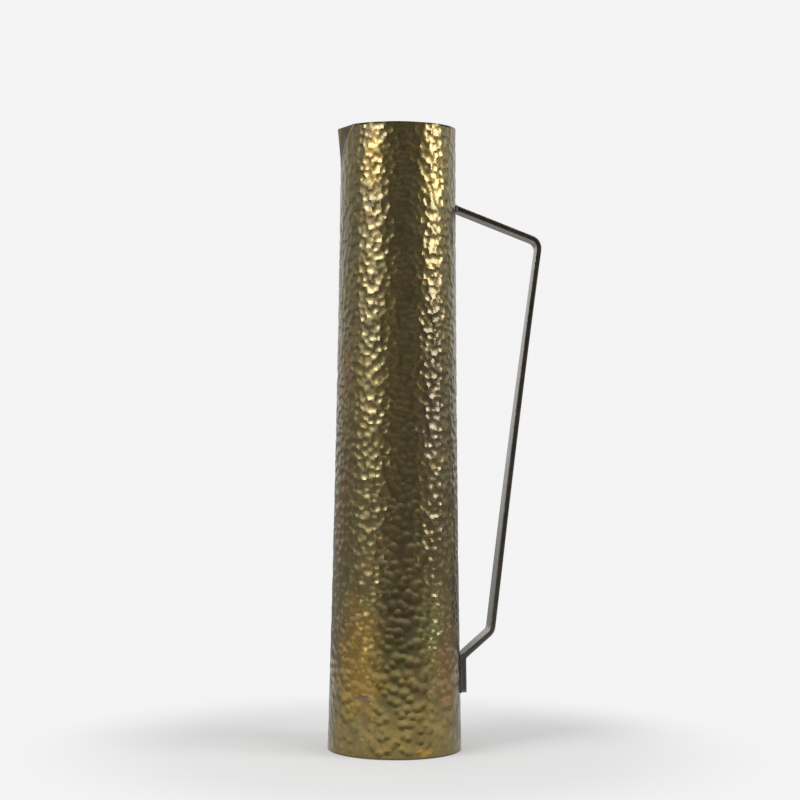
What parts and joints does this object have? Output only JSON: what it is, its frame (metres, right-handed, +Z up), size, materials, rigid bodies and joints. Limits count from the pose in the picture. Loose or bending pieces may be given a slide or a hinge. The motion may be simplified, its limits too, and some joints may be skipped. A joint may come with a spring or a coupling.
{
  "type": "water pitcher",
  "caption": "Tall, slender hammered water pitcher: tapered round wall, flat base, small folded pouring lip and an angular strap handle.",
  "frame": {"origin": "on the vessel's axis at the underside of the base", "axes": "+Z up along the vessel's axis, +X towards the handle, -X towards the pouring lip"},
  "size_m": [0.1304, 0.0822, 0.38],
  "materials": {
    "hammered_brass": "hammered, aged to olive, gold and brown",
    "spout_brass": "plain sheet, aged",
    "base_brass": "plain sheet, dull and rubbed",
    "strap_brass": "drawn bar with a dark brown-grey patina",
    "braze": "filed braze, slightly paler than the sheet",
    "solder": "dark, rough fillet"
  },
  "bodies": {
    "root": {"body_wall": "hammered_brass", "body_seam": "braze", "base_disc": "base_brass", "base_solder": "solder", "spout": "spout_brass", "spout_solder": "braze", "handle_strap": "strap_brass", "handle_top_solder": "solder", "handle_foot_solder": "solder"}
  },
  "joints": []
}
